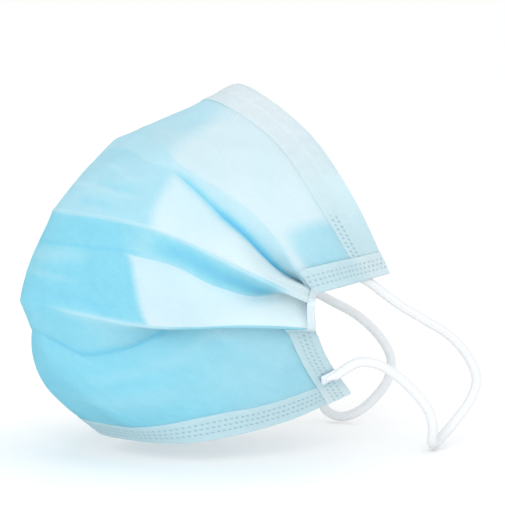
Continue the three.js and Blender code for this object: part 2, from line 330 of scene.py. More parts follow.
class Line:
    """A centripetal Catmull-Rom line through points, walked by the share of its length."""

    STEPS = 200
    NUDGE = 0.0001

    def __init__(self, points):
        self.points = np.array(points, float)
        self.walked = walk([self.point(t) for t in np.linspace(0, 1, self.STEPS + 1)])
        self.length = self.walked[-1]

    def point(self, t):
        p = self.points
        last = len(p) - 1
        i = min(int(t * last), last - 1)
        w = t * last - i
        p0 = p[i - 1] if i else 2 * p[0] - p[1]
        p1, p2 = p[i], p[i + 1]
        p3 = p[i + 2] if i + 2 <= last else 2 * p[last] - p[last - 1]
        d0, d1, d2 = (math.sqrt(np.linalg.norm(b - a)) for a, b in ((p0, p1), (p1, p2), (p2, p3)))
        t1 = ((p1 - p0) / d0 - (p2 - p0) / (d0 + d1) + (p2 - p1) / d1) * d1
        t2 = ((p2 - p1) / d1 - (p3 - p1) / (d1 + d2) + (p3 - p2) / d2) * d1
        return p1 + t1 * w + (3 * (p2 - p1) - 2 * t1 - t2) * w**2 + (2 * (p1 - p2) + t1 + t2) * w**3

    def place(self, u):
        return np.interp(u * self.length, self.walked, np.linspace(0, 1, self.STEPS + 1))

    def at(self, u):
        return self.point(self.place(u))

    def direction(self, u):
        t = self.place(u)
        return unit(self.point(min(t + self.NUDGE, 1.0)) - self.point(max(t - self.NUDGE, 0.0)))


def lines_of_the_mask():
    """Each line from the right side edge over the centre to the left side edge."""
    made = []
    for line in LINES:
        left = [line["ridge"], line["cheek"], line["side"]]
        right = [(-x, y, z) for x, y, z in reversed(left)]
        made.append(Line([*right, (0, *line["centre"]), *left]))
    return made


CURVES = lines_of_the_mask()


def line_at(k, s):
    """The point of line k at share s of the half width."""
    return CURVES[k].at(0.5 + 0.5 * s)


def line_direction(k, s):
    return CURVES[k].direction(0.5 + 0.5 * s)


# ---- one section of the cloth
class Section:
    """Directions in one section of the cloth, as angles that turn inward from one of them."""

    def __init__(self, ahead, across):
        self.ahead = ahead
        self.inward = np.cross(across, ahead)

    def turned(self, a):
        return self.ahead * math.cos(a) + self.inward * math.sin(a)

    def angle_of(self, v):
        return math.atan2(np.dot(v, self.inward), np.dot(v, self.ahead))


def folds_at(s):
    """The folds at share s of the half width: each lip and pleat back as a round tip."""
    folds = []
    before = line_at(0, s)
    pressed = float(smooth(*PRESSED, s))
    lip_tip = lerp(LIP_TIP, PRESSED_TIP, pressed)
    for k, pleat in enumerate(PLEATS):
        lip, below = line_at(k + 1, s), line_at(k + 2, s)
        h = line_direction(k + 1, s)
        section = Section(squared(lip - before, h), h)
        open_angle = section.angle_of(below - lip)
        shut_angle = lerp(SHUT_ANGLE, PRESSED_ANGLE, pressed) + min(open_angle, 0.0)
        shut = how_shut(s, **pleat["closes"])
        angle = lerp(open_angle, shut_angle, shut)
        back = lip + section.turned(angle) * depth_at(pleat, s)
        leaving = section.angle_of(below - back)
        back_tip = lerp(pleat["back_tip"], lerp(BACK_TIP, PRESSED_TIP, pressed), max(shut, 0.0))
        lip_start = lip - section.turned(angle / 2) * lip_tip
        back_start = back - section.turned((angle + leaving) / 2) * back_tip / 2
        folds.append(round_tip(lip_start, 0.0, angle, lip_tip, section))
        folds.append(round_tip(back_start, angle, leaving, back_tip, section))
        before = folds[-1][-1]
    return folds


def how_shut(s, at_centre, start, end, lateness):
    """1 where a pleat is folded shut, and about 0 where it hangs open."""
    closed = min(max((s - start) / (end - start), 0.0), 1.0)
    return lerp(at_centre, 1.0, closed**lateness)


def depth_at(pleat, s):
    """The depth of a pleat, straight or eased between the places in its table."""
    places, depths = zip(*pleat["depths"])
    k = min(int(np.searchsorted(places, s, side="right")) - 1, len(places) - 2)
    t = (s - places[k]) / (places[k + 1] - places[k])
    return lerp(depths[k], depths[k + 1], lerp(t, float(smooth(0, 1, t)), pleat["eased"]))


def round_tip(start, first, last, width, section):
    """Points on the arc that turns from one direction to another, width across its ends."""
    half = (last - first) / 2
    points = []
    for i in range(TIP_STEPS + 1):
        a = (last - first) * i / TIP_STEPS
        if abs(half) < STRAIGHT:
            points.append(start + section.turned(first + half) * width * i / TIP_STEPS)
        else:
            chord = width * math.sin(a / 2) / math.sin(half)
            points.append(start + section.turned(first + a / 2) * chord)
    return points


def panel_point(a, b, panel, s, h, t):
    """The point at share t between a and b, standing out past the straight line."""
    bulge = lerp(panel["centre"], panel["side"], s)
    outward = np.cross(squared(b - a, h), h)
    arch = 4 * t * (1 - t) * (1 + panel["skew"] * (1 - 2 * t))
    drawn_in = panel["drawn_in"] * smooth(*NEAR_SIDE, s)
    return lerp(a, b, t) + (outward * bulge - h * drawn_in) * arch


def panel_points(a, b, panel, s, h):
    """Points between a and b, closer together towards the folds."""
    steps = panel["steps"]
    evenly_spread = np.arange(1, steps) / steps
    to_the_folds = (1 - np.cos(math.pi * evenly_spread)) / 2
    return [panel_point(a, b, panel, s, h, t) for t in lerp(evenly_spread, to_the_folds, TO_THE_FOLDS)]


def straight(a, b, steps):
    """Points from a up to the one before b."""
    return [lerp(a, b, i / steps) for i in range(steps)]


def section_at(s):
    """The middle of the cloth from the nose edge to the chin edge, with the two hem feet."""
    folds = folds_at(s)
    nose, chin = line_at(0, s), line_at(4, s)
    nose_hem_width = lerp(NOSE_HEM, NOSE_HEM_AT_SIDE, smooth(*NEAR_SIDE, s))
    body = [toward(nose, folds[0][0], nose_hem_width)]
    for k, panel in enumerate(PANELS[:3]):
        lip, back = folds[2 * k : 2 * k + 2]
        body += panel_points(body[-1], lip[0], panel, s, line_direction(k + 1, s))
        body += [*lip, *straight(lip[-1], back[0], UNDER_STEPS)[1:], *back]
    chin_panel, h = PANELS[3], line_direction(4, s)
    chin_aim = panel_point(body[-1], chin, chin_panel, s, h, CHIN_SLOPE_AT)
    chin_foot = toward(chin, chin_aim, CHIN_HEM)
    body += [*panel_points(body[-1], chin_foot, chin_panel, s, h), chin_foot]
    return nose, body, chin


def from_side_to_side(shares, row_at):
    """Rows at shares on the wearer's left, and the same rows mirrored on the right."""
    left = [np.array(row_at(s)) for s in shares]
    right = [row * (-1, 1, 1) for row in left[:0:-1]]
    return np.array([*right, *left])


def normals_of(rows):
    """Unit normals on the front of a grid of points: rows run side to side, then down."""
    across = np.gradient(rows, axis=0)
    down = np.gradient(rows, axis=1)
    return unit(np.cross(down, across))


# ---- meshes
def mesh_object(name, points, faces, layout, materials):
    """A smooth mesh of points, with the flat layout of each corner of its faces as its UV
    map. Both are in millimetres."""
    mesh = bpy.data.meshes.new(name)
    mesh.from_pydata((points * MM).tolist(), [], faces)
    uv = mesh.uv_layers.new(name="flat")
    uv.data.foreach_set("uv", (layout / (2 * HALF_WIDTH)).ravel())
    for material in materials:
        mesh.materials.append(material)
    mesh.polygons.foreach_set("use_smooth", [True] * len(faces))
    piece = bpy.data.objects.new(name, mesh)
    bpy.context.scene.collection.objects.link(piece)
    return piece


def sheet_object(name, rows, flat, materials, thickness, marks):
    """A sheet through rows of points, with marks that its materials read."""
    n, m = rows.shape[:2]
    index = np.arange(n * m).reshape(n, m)
    corners = (index[:-1, :-1], index[:-1, 1:], index[1:, 1:], index[1:, :-1])
    faces = np.stack(corners, axis=-1).reshape(-1, 4)
    layout = flat.reshape(-1, 2)[faces.ravel()]
    piece = mesh_object(name, rows.reshape(-1, 3), faces.tolist(), layout, materials)
    for mark, values in marks.items():
        layer = piece.data.attributes.new(mark, "FLOAT", "POINT")
        layer.data.foreach_set("value", np.ascontiguousarray(values, float).ravel())
    wall = piece.modifiers.new("wall", "SOLIDIFY")
    wall.thickness = thickness * MM
    wall.offset = 0.0
    wall.material_offset = len(materials) - 1
    apply_modifier(piece, wall)
    piece.data.set_sharp_from_angle(angle=SHARP_EDGE)
    return piece


def tube_object(name, rows, flat, material):
    """A closed tube through rings of points, with a flat cap at each end."""
    n, m = rows.shape[0], rows.shape[1] - 1
    faces, layout = [], []
    for i in range(n - 1):
        for j in range(m):
            k = (j + 1) % m
            faces.append((i * m + j, i * m + k, (i + 1) * m + k, (i + 1) * m + j))
            layout += [flat[i, j], flat[i, j + 1], flat[i + 1, j + 1], flat[i + 1, j]]
    for i, order in ((0, -1), (n - 1, 1)):
        faces.append([i * m + j for j in range(m)][::order])
        layout += [flat[i, j] for j in range(m)][::order]
    return mesh_object(name, rows[:, :m].reshape(-1, 3), faces, np.array(layout), [material])


def apply_modifier(piece, modifier):
    bpy.ops.object.select_all(action="DESELECT")
    bpy.context.view_layer.objects.active = piece
    piece.select_set(True)
    bpy.ops.object.modifier_apply(modifier=modifier.name)
    piece.select_set(False)


# ---- materials
def srgb(hexadecimal):
    """An sRGB hex colour as the linear colour that a shader takes."""
    parts = [int(hexadecimal[i : i + 2], 16) / 255 for i in (0, 2, 4)]
    return (*(p / 12.92 if p <= 0.04045 else ((p + 0.055) / 1.055) ** 2.4 for p in parts), 1.0)


def add_node(tree, kind, inputs, **settings):
    """One node with its settings. An input is a value or another node's output."""
    made = tree.nodes.new(kind)
    for name, value in settings.items():
        setattr(made, name, value)
    for name, value in inputs.items():
        if isinstance(value, bpy.types.NodeSocket):
            tree.links.new(value, made.inputs[name])
        else:
            made.inputs[name].default_value = value
    return made


def new_material(name):
    material = bpy.data.materials.new(name)
    material.use_nodes = True
    material.node_tree.nodes.clear()
    return material, material.node_tree


def blend(tree, amount, low, high):
    """A colour between two, by an amount."""
    inputs = {0: amount, 6: low, 7: high}
    return add_node(tree, "ShaderNodeMix", inputs, data_type="RGBA").outputs[2]


def mark_of(tree, name):
    return add_node(tree, "ShaderNodeAttribute", {}, attribute_name=name).outputs["Fac"]


def flat_in_mm(tree):
    """The flat layout of a piece in millimetres, from its own UV map."""
    flat = add_node(tree, "ShaderNodeUVMap", {}, uv_map="flat").outputs[0]
    to_mm = (2 * HALF_WIDTH,) * 3
    return add_node(tree, "ShaderNodeVectorMath", {0: flat, 1: to_mm}, operation="MULTIPLY").outputs[0]


def bumps(tree, height, strength, rise):
    """The normal of a surface with a relief, whose rise is in millimetres."""
    inputs = {"Strength": strength, "Distance": rise * MM, "Height": height}
    return add_node(tree, "ShaderNodeBump", inputs).outputs[0]


def output(tree, shader):
    add_node(tree, "ShaderNodeOutputMaterial", {"Surface": shader.outputs[0]})


def spunbond(name, colours, through, marks, sheerness):
    """Spunbond polypropylene: fine fibres blown down at random, which leave it matt and
    faintly mottled, and bonded by a lattice of hot points, which dimple it. It is so sheer
    that light comes through. Each mark on the mesh turns its colour, and that of the light
    through it, towards another one; on the blue panel these are painted light and painted shade."""
    patches_per_mm = 0.35
    fibres_per_mm = 2.6
    point_pitch = 1.4
    material, tree = new_material(name)
    cloth = flat_in_mm(tree)
    mottle = add_node(tree, "ShaderNodeTexNoise", {"Vector": cloth, "Scale": patches_per_mm, "Detail": 5.0})
    inputs = {"Value": mottle.outputs[0], "From Min": 0.35, "From Max": 0.65}
    tone = add_node(tree, "ShaderNodeMapRange", inputs)
    base = blend(tree, tone.outputs[0], srgb(colours[0]), srgb(colours[1]))
    light = srgb(through)
    for mark, colour in marks.items():
        base = blend(tree, mark_of(tree, mark), base, srgb(colour))
        light = blend(tree, mark_of(tree, mark), light, srgb(colour))
    turned = add_node(tree, "ShaderNodeMapping", {"Vector": cloth, "Rotation": (0, 0, math.pi / 4)})
    inputs = {"Vector": turned.outputs[0], "Scale": 1 / point_pitch, "Randomness": 0.0}
    lattice = add_node(tree, "ShaderNodeTexVoronoi", inputs, voronoi_dimensions="2D")
    inputs = {"Value": lattice.outputs[0], "From Min": 0.2, "From Max": 0.36}
    point = add_node(tree, "ShaderNodeMapRange", inputs)
    fibres = add_node(tree, "ShaderNodeTexNoise", {"Vector": cloth, "Scale": fibres_per_mm, "Detail": 4.0})
    inputs = {0: fibres.outputs[0], 1: 0.5, 2: point.outputs[0]}
    relief = add_node(tree, "ShaderNodeMath", inputs, operation="MULTIPLY_ADD")
    normal = bumps(tree, relief.outputs[0], 0.3, 0.1)
    inputs = {"Base Color": base, "Roughness": 0.75, "IOR": 1.45, "Normal": normal}
    face = add_node(tree, "ShaderNodeBsdfPrincipled", inputs)
    glow = add_node(tree, "ShaderNodeBsdfTranslucent", {"Color": light, "Normal": normal})
    inputs = {0: sheerness, 1: face.outputs[0], 2: glow.outputs[0]}
    output(tree, add_node(tree, "ShaderNodeMixShader", inputs))
    return material


def knitted_elastic():
    """Nylon yarn knitted round a spandex core. Its loose fine ends make the white cord matt
    and softly fuzzy, with a little sheen at its outline."""
    fuzz_per_mm = 0.914
    material, tree = new_material("knitted nylon elastic")
    inputs = {"Vector": flat_in_mm(tree), "Scale": fuzz_per_mm, "Detail": 4.0}
    fuzz = add_node(tree, "ShaderNodeTexNoise", inputs)
    normal = bumps(tree, fuzz.outputs[0], 0.3, 0.1)
    inputs = {"Base Color": srgb("dfe1e3"), "Roughness": 0.8, "IOR": 1.53, "Normal": normal}
    inputs["Sheen Weight"] = 0.2
    output(tree, add_node(tree, "ShaderNodeBsdfPrincipled", inputs))
    return material


def melted_weld():
    """Elastic and cloth melted into one and set in shallow ribs by the welding horn, which
    leaves them smoother than the yarn and a little glassy."""
    rib_pitch = 1.122
    waves_per_unit = 20 / (2 * math.pi)  # of a wave texture at scale 1
    material, tree = new_material("melted nylon and polypropylene")
    place = add_node(tree, "ShaderNodeTexCoord", {}).outputs["Object"]
    scale = 1 / (rib_pitch * MM * waves_per_unit)
    inputs = {"Vector": place, "Scale": scale, "Distortion": 0.5}
    ribs = add_node(tree, "ShaderNodeTexWave", inputs, bands_direction="Y")
    normal = bumps(tree, ribs.outputs["Fac"], 0.6, 0.15)
    inputs = {"Base Color": srgb("d9dfe9"), "Roughness": 0.42, "IOR": 1.5, "Normal": normal}
    output(tree, add_node(tree, "ShaderNodeBsdfPrincipled", inputs))
    return material


def galvanised_wire():
    """Steel rolled flat and dipped in zinc, which set in fine spangles: a dull, pale grey
    strip that glints a little unevenly."""
    spangles_per_mm = 0.9
    material, tree = new_material("galvanised steel strip")
    place = add_node(tree, "ShaderNodeTexCoord", {}).outputs["Object"]
    inputs = {"Vector": place, "Scale": spangles_per_mm / MM, "Detail": 3.0}
    spangle = add_node(tree, "ShaderNodeTexNoise", inputs)
    inputs = {"Value": spangle.outputs[0], "To Min": 0.35, "To Max": 0.55}
    rough = add_node(tree, "ShaderNodeMapRange", inputs)
    inputs = {"Base Color": srgb("c9cdd0"), "Metallic": 1.0, "Roughness": rough.outputs[0]}
    output(tree, add_node(tree, "ShaderNodeBsdfPrincipled", inputs))
    return material


# The panel's outer face, where painted light turns the blue pale, painted shade turns it a deeper
# blue in the pleats and painted light turns it white at the gathered sides, then its inner face,
# and the strips.
BLUE = spunbond(
    "blue spunbond polypropylene",
    ("8fd3e5", "97d8e9"),
    "a1e2ef",
    {"painted_light": "dcecf1", "painted_shade": "5cbcea", "painted_white_at_sides": "effcff"},
    0.45,
)
INNER = spunbond("white spunbond polypropylene", ("f0f4f6", "f6f9fb"), "f2f8fb", {}, 0.25)
STRIP_WHITE = spunbond(
    "thin white spunbond polypropylene",
    ("e9f2f6", "eef6f9"),
    "e9f3f7",
    {"see_through": "c3e7ee", "weld": "a9d0dc"},
    0.4,
)
ELASTIC = knitted_elastic()
MELTED = melted_weld()
WIRE = galvanised_wire()


# ---- camera
def place_camera():
    """From the wearer's left and a little above, through a long lens."""
    azimuth, elevation = math.radians(66), math.radians(5)
    away = 0.9
    fill = 0.9  # the share of the picture's width that the mask takes
    level = math.cos(elevation)
    back = Vector((math.sin(azimuth) * level, -math.cos(azimuth) * level, math.sin(elevation)))
    right = Vector((math.cos(azimuth), math.sin(azimuth), 0))
    up = back.cross(right)
    nodes = [o for o in bpy.context.scene.objects if o.type == "MESH"]
    corners = [o.matrix_world @ v.co for o in nodes for v in o.data.vertices]
    xs = [c.dot(right) for c in corners]
    ys = [c.dot(up) for c in corners]
    aim = right * (min(xs) + max(xs)) / 2 + up * (min(ys) + max(ys)) / 2
    data = bpy.data.cameras.new("camera")
    data.sensor_fit = "HORIZONTAL"
    data.lens = data.sensor_width * away * fill / (max(xs) - min(xs))
    camera = bpy.data.objects.new("camera", data)
    camera.location = aim + back * away
    camera.rotation_euler = back.to_track_quat("Z", "Y").to_euler()
    bpy.context.scene.collection.objects.link(camera)
    bpy.context.scene.camera = camera


# ---- ear loops
def ear_loop(side):
    """A round knitted elastic along its route, with rows of stitches standing out."""
    name = "ear_loop_cord_left" if side > 0 else "ear_loop_cord_right"
    route = Line([(side * x, y, z) for x, y, z in LOOP_ROUTE])
    rings = int(route.length / RING_STEP)
    turns = 2 * math.pi * np.arange(RING_SIDES + 1) / RING_SIDES
    wale = np.cos(WALES * turns)
    slant = STITCH_SLANT * np.sin(WALES * turns)
    normal = np.array([side, 0.0, 0.0])
    rows, flat, path = [], [], []
    for i in range(rings + 1):
        u = i / rings
        walked = u * route.length
        centre, along = route.at(u), route.direction(u)
        normal = squared(normal, along)
        stitch = np.cos(2 * math.pi * walked / STITCH + slant)
        slim = lerp(SLIMMEST, 1.0, smooth(0, FLATTENED, min(walked, route.length - walked)))
        radius = (CORD / 2 - KNIT_DEPTH + WALE_RISE * wale + STITCH_RISE * stitch) * slim
        ring = np.outer(np.cos(turns), normal) + np.outer(np.sin(turns), np.cross(along, normal))
        rows.append(centre + ring * radius[:, None])
        flat.append(np.stack([np.full(RING_SIDES + 1, walked), turns * CORD / 2], axis=-1))
        path.append(tuple(centre * MM))
    piece = tube_object(name, np.array(rows), np.array(flat), ELASTIC)
    return piece


def loop_weld(name, side, pad):
    """The end of a loop, pressed flat on the binding by the welding horn."""
    bpy.ops.object.select_all(action="DESELECT")
    bpy.ops.mesh.primitive_cube_add(size=1)
    piece = bpy.context.object
    piece.name = name
    piece.scale = (PAD_LENGTH * MM, PAD_WIDTH * MM, PAD_THICKNESS * MM)
    bpy.ops.object.transform_apply(location=False, rotation=False, scale=True)
    edges = piece.modifiers.new("edges", "BEVEL")
    edges.width = PAD_EDGE * MM
    edges.segments = 4
    apply_modifier(piece, edges)
    mirror = Vector((side, 1, 1))
    centre = Vector(pad["centre"]) * mirror
    along = (Vector(pad["along"]) * mirror).normalized()
    facing = Vector(pad["facing"]) * mirror
    facing = (facing - along * facing.dot(along)).normalized()
    piece.select_set(True)
    piece.rotation_euler = Matrix((along, facing.cross(along), facing)).transposed().to_euler()
    piece.location = centre * MM
    bpy.ops.object.transform_apply(location=True, rotation=True, scale=True)
    bpy.ops.object.shade_smooth()
    piece.data.materials.append(MELTED)
    return piece


# ---- the panel
def cloth_row(s):
    """The cloth at share s of the half width, with its own edges inside the hems."""
    nose, body, chin = section_at(s)
    top = toward(nose, body[0], WIRE_START + WIRE_WIDTH + PAST_WIRE)
    bottom = toward(chin, body[-1], PAST_CHIN)
    above = straight(top, body[0], HEM_STEPS)
    below = straight(body[-1], bottom, HEM_STEPS)[1:]
    return [*above, *body, *below, bottom]


def stretches_of_cloth():
    """Where each panel and pleat lies in a row of cloth, as (first, last)."""
    spans = {}
    at = HEM_STEPS
    for k, panel in enumerate(PANELS):
        spans[panel["name"]] = (at, at + panel["steps"])
        at += panel["steps"]
        if k < len(PLEATS):
            spans[PLEATS[k]["name"]] = (at, at + 2 * TIP_STEPS + UNDER_STEPS)
            at += 2 * TIP_STEPS + UNDER_STEPS
    return spans


STRETCHES = stretches_of_cloth()


def down_the_part(part):
    """The columns of a stretch of cloth, and the share of it at each from 0 to 1."""
    first, last = STRETCHES[part]
    return slice(first, last + 1), np.linspace(0, 1, last - first + 1)[None, :]


def past_the_ridge(row, shares, t):
    """0 over the middle of the mask and 1 past the cheek ridge."""
    start = lerp(*row["ridge"], t)
    return smooth(start - row["blur"], start + row["blur"], np.abs(shares)[:, None])


def in_the_patch(shares, t):
    """1 in the patch of painted shade on the nose panel and 0 outside it."""
    across = np.abs((np.abs(shares)[:, None] - PATCH["middle"][0]) / PATCH["reach"][0])
    down = np.abs((t - PATCH["middle"][1]) / PATCH["reach"][1])
    away = (across**PATCH_CORNERS + down**PATCH_CORNERS) ** (1 / PATCH_CORNERS)
    return 1 - smooth(*PATCH["fade"], away)


def tones(shares, down):
    """How pale the blue is painted at each point of the cloth: painted light above 0,
    painted shade below it, and a little random drift.
    """
    tone = np.zeros_like(down)
    for row in TONES:
        here, t = down_the_part(row["part"])
        cheek = lerp(*row["cheek"], t)
        tone[:, here] = lerp(row["middle"], cheek, past_the_ridge(row, shares, t))
    # painted shade: the patch on the nose panel is taken back towards full blue
    here, t = down_the_part("nose panel")
    tone[:, : here.start] = tone[:, here.start : here.start + 1]
    tone[:, here] = lerp(tone[:, here], PATCH["tone"], in_the_patch(shares, t))
    # painted light: the gathered pleats are painted white towards the side
    drawn = slice(STRETCHES["upper panel"][0], STRETCHES["pleat 3"][0])
    tone[:, drawn] = lerp(tone[:, drawn], 1.0, smooth(*GATHER, np.abs(shares))[:, None])
    # painted highlights and painted shade along the pressed edges and the faint creases
    for edge in EDGES:
        tone += edge["tone"] * line_along(edge, shares, down)
    for crease, line in crease_lines(shares, down):
        tone += crease["tone"] * line
    across = shares[:, None] * HALF_WIDTH
    clouds = np.sin(across / 6.1 + 1.3 * np.sin(down / 5.7)) * np.sin(down / 3.9 + 0.7)
    return tone + CLOUDINESS * clouds


def line_along(edge, shares, down):
    """1 on a pressed edge, 0 off it."""
    first, last = STRETCHES[edge["part"]]
    at = {"lip": first + 1, "under": last - TIP_STEPS - 2, "back": last - TIP_STEPS // 2}[edge["end"]]
    start, end = edge["shares"]
    reach = np.abs(shares)[:, None]
    fade = smooth(start, start + EDGE_FADE, reach) * (1 - smooth(end - EDGE_FADE, end, reach))
    return fade * np.exp(-(((down - down[:, at : at + 1]) / edge["width"]) ** 2))


def cheek_ridge(shares, down):
    """How far the cheek ridge stands out of the panels."""
    relief = np.zeros_like(down)
    for row in TONES:
        if row["part"] in ("nose panel", "upper panel", "middle panel"):
            here, t = down_the_part(row["part"])
            away = (np.abs(shares)[:, None] - lerp(*row["ridge"], t)) / RIDGE_REACH
            relief[:, here] = RIDGE_RISE * np.sin(math.pi * t) * np.exp(-(away**2))
    return relief


def crease_lines(shares, down):
    """Each faint crease with how much of it lies at each point of the cloth."""
    reach = np.abs(shares)[:, None]
    for crease in CREASES:
        first, last = STRETCHES[crease["on"]]
        wander = CREASE_WANDER * np.sin(reach * 23 + 9 * crease["at"])
        here = lerp(down[:, first], down[:, last], crease["at"])[:, None] + wander
        start, end = crease["shares"]
        fade = smooth(start, start + CREASE_START, reach) if start else 1.0
        fade = fade * (1 - smooth(end - CREASE_END, end, reach))
        yield crease, fade * np.exp(-(((down - here) / crease["width"]) ** 2))


def slack(shares, down):
    """The slight unevenness of cloth that nothing draws tight, and puckers at the bindings:
    how high each wave is and, over 2 pi, how long, in millimetres."""
    across = shares[:, None] * HALF_WIDTH
    long_waves = 0.22 * np.sin(across / 5.3 + 0.6) * np.sin(down / 7.1 + 0.4)
    slanting_waves = 0.16 * np.sin(across / 3.1 - down / 4.7 + 2.0)
    short_waves = 0.10 * np.sin(across / 2.3 + down / 3.3 + 1.1) * np.sin(down / 9.0)
    puckers = 0.16 * np.sin(down / 1.15 + np.sin(down / 4)) * smooth(*PUCKERED, np.abs(shares))[:, None]
    return long_waves + slanting_waves + short_waves + puckers


def steadiness(shares, down):
    """How firmly the cloth is held: 0 in the middle of a panel and 1 near a shut pleat."""
    firm = np.ones_like(down)
    for panel in PANELS:
        here, t = down_the_part(panel["name"])
        firm[:, here] = 1 - smooth(*HELD_ABOVE, t) * (1 - smooth(*HELD_BELOW, t))
    return firm * smooth(*HELD, np.abs(shares))[:, None]


def gathered(shares, down):
    """1 where the upper and middle panels are drawn together at the side, where painted light
    turns them white, and 0 elsewhere.
    """
    white = np.zeros_like(down)
    for name in ("upper panel", "middle panel"):
        here, _ = down_the_part(name)
        white[:, here] = smooth(*PAINTED_WHITE_REACH, np.abs(shares))[:, None]
    return white


def pleated_panel():
    half = np.linspace(0, CLOTH_END, CLOTH_STEPS)
    rows = from_side_to_side(half, cloth_row)
    shares = np.concatenate([-half[:0:-1], half])
    down = walk(rows)
    tone = tones(shares, down)
    relief = cheek_ridge(shares, down) + slack(shares, down) * (1 - steadiness(shares, down))
    for crease, line in crease_lines(shares, down):
        relief += crease["height"] * line
    for edge in EDGES:
        relief += edge["height"] * line_along(edge, shares, down)
    in_the_hems = HEM_STEPS + 2
    relief[:, :in_the_hems] = 0
    relief[:, -in_the_hems:] = 0
    rows = rows + normals_of(rows) * relief[:, :, None]
    flat = np.stack(np.broadcast_arrays((1 + shares)[:, None] * HALF_WIDTH, down), axis=-1)
    # painted light where the tone is above 0, painted shade where it is below, and painted white at the
    # gathered sides
    marks = {
        "painted_light": np.clip(tone, 0, 1),
        "painted_shade": np.clip(-tone, 0, 1),
        "painted_white_at_sides": gathered(shares, down) * np.clip(tone, 0, 1),
    }
    return sheet_object("pleated_panel_cloth", rows, flat, [BLUE, INNER], CLOTH, marks)


# ---- welds
def welds(along, across, rows):
    """1 in the middle of a hot-pressed weld and 0 off it. Every other row is shifted."""
    pressed = np.zeros(np.broadcast(along, across).shape)
    for k, place in enumerate(rows):
        shift = WELD_PITCH / 2 * (k % 2)
        a = np.mod(along + shift, WELD_PITCH) - WELD_PITCH / 2
        a = np.maximum(np.abs(a) - (WELD_LENGTH - WELD_WIDTH) / 2, 0)
        away = np.hypot(a, across - place) / WELD_WIDTH
        pressed = np.maximum(pressed, 1 - smooth(*WELD_SLOPE, away))
    return pressed


# ---- hems
def folded_strip(name, ends_at, width, rise_at, weld_rows, welded_from, see_through):
    """A strip folded over an edge: up the front from its foot, over the edge and down the
    back. rise_at gives how far its legs stand off the middle of the cloth."""
    half = np.linspace(0, HEM_END, HEM_SECTIONS)
    ends = from_side_to_side(half, ends_at)
    edge, foot = ends[:, :1], ends[:, 1:]
    down = unit(foot - edge)
    front = unit(np.cross(down, np.gradient((edge + foot) / 2, axis=0)))
    across = (np.concatenate([-half[:0:-1], half]) * HALF_WIDTH)[:, None]
    bend = np.linspace(0, math.pi, HEM_TURN + 1)
    legs = np.linspace(width, HEM_RISE, HEM_LEG + 1)[:-1]
    inset = np.concatenate([legs, HEM_RISE * (1 - np.sin(bend)), legs[::-1]])[None, :]
    side = np.concatenate([np.ones(HEM_LEG), np.cos(bend), -np.ones(HEM_LEG)])[None, :]
    reach = np.abs(across) / HALF_WIDTH
    welded = smooth(welded_from - WELD_FADE, welded_from + WELD_FADE, reach)
    pressed = welds(across, inset, weld_rows) * welded
    rise = rise_at(across, inset) - WELD_DEPTH * pressed
    rows = edge + down * inset[:, :, None] + front * (rise * side)[:, :, None]
    walked = np.concatenate([[0], np.cumsum(np.abs(np.diff(inset[0])) + LEAST_STEP)])
    flat = np.stack(np.broadcast_arrays(across + HALF_WIDTH, walked[None, :]), axis=-1)
    at_chin = name.startswith("chin")
    in_front = np.clip(-side if at_chin else side, 0, 1)
    marks = {"weld": pressed, "see_through": lerp(*see_through, smooth(*SHEER_CHANGES, reach)) * in_front}
    if at_chin:  # it runs up from its edge, so it is turned round to face outward
        rows = rows[:, ::-1]
        flat = flat[:, ::-1]
        marks = {mark: values[:, ::-1] for mark, values in marks.items()}
    return sheet_object(name, rows, flat, [STRIP_WHITE], STRIP, marks)


def nose_hem():
    def ends(s):
        nose, body, _ = section_at(s)
        return nose, body[0]

    def rise(across, inset):
        above = WIRE_START - inset
        below = inset - WIRE_START - WIRE_WIDTH
        beside = np.abs(across) - WIRE_REACH
        over_wire = (1 - smooth(0, WIRE_FADE, above)) * (1 - smooth(0, WIRE_FADE, below))
        return HEM_RISE + WIRE_RISE * over_wire * (1 - smooth(0, WIRE_END_FADE, beside))

    return folded_strip("nose_hem_strip", ends, NOSE_HEM, rise, NOSE_WELDS, NOSE_WELDS_FROM, NOSE_SHEER)


def chin_hem():
    def ends(s):
        _, body, chin = section_at(s)
        return chin, body[-1]

    def rise(across, inset):
        return HEM_RISE

    return folded_strip("chin_hem_strip", ends, CHIN_HEM, rise, CHIN_WELDS, -1, CHIN_SHEER)


# ---- side bindings
# Steps of the nose and chin panels beside the pleats. The binding spans the hollow there
# in one sweep, so its layers leave them out.
SPANNED = {"nose panel": 14, "chin panel": 6, "chin panel in front": 12}
CORNER_ROUNDS = 8  # how often the corners of a layer are smoothed


def body_at(part):
    """The first and last point of a stretch of cloth in the body of a section."""
    first, last = STRETCHES[part]
    return first - HEM_STEPS, last - HEM_STEPS


def front_layer(s):
    """The outermost cloth of the section, which the binding lies on in front. Also gives
    which of its points are the first and the last where the pleats run out."""
    nose, body, chin = section_at(s)
    picks = list(range(0, body_at("pleat 1")[0] + 1))
    lip_1 = len(picks)
    for name in ("pleat 2", "pleat 3"):
        lip = body_at(name)[0]
        picks += [lip, lip + TIP_STEPS]
    lip_3 = len(picks)
    picks += list(range(body_at("chin panel")[0] + SPANNED["chin panel in front"], len(body)))
    return [nose, *(body[i] for i in picks), chin], (lip_1, lip_3)


def back_layer(s):
    """The innermost cloth of the section, which the binding lies on behind."""
    nose, body, chin = section_at(s)
    upper = body[: body_at("nose panel")[0] + SPANNED["nose panel"]]
    back = body_at("pleat 1")[1] - TIP_STEPS
    lower = body[body_at("chin panel")[0] + SPANNED["chin panel"] :]
    return [nose, *upper, body[back], body[back + TIP_STEPS], *lower, chin]


def evenly(points, count):
    """The same polyline in even steps, with its corners rounded."""
    walked = walk(points)
    steps = np.linspace(0, walked[-1], count)
    even = np.stack([np.interp(steps, walked, axis) for axis in np.array(points).T], axis=1)
    for _ in range(CORNER_ROUNDS):
        even[1:-1] = (even[:-2] + 2 * even[1:-1] + even[2:]) / 4
    return even


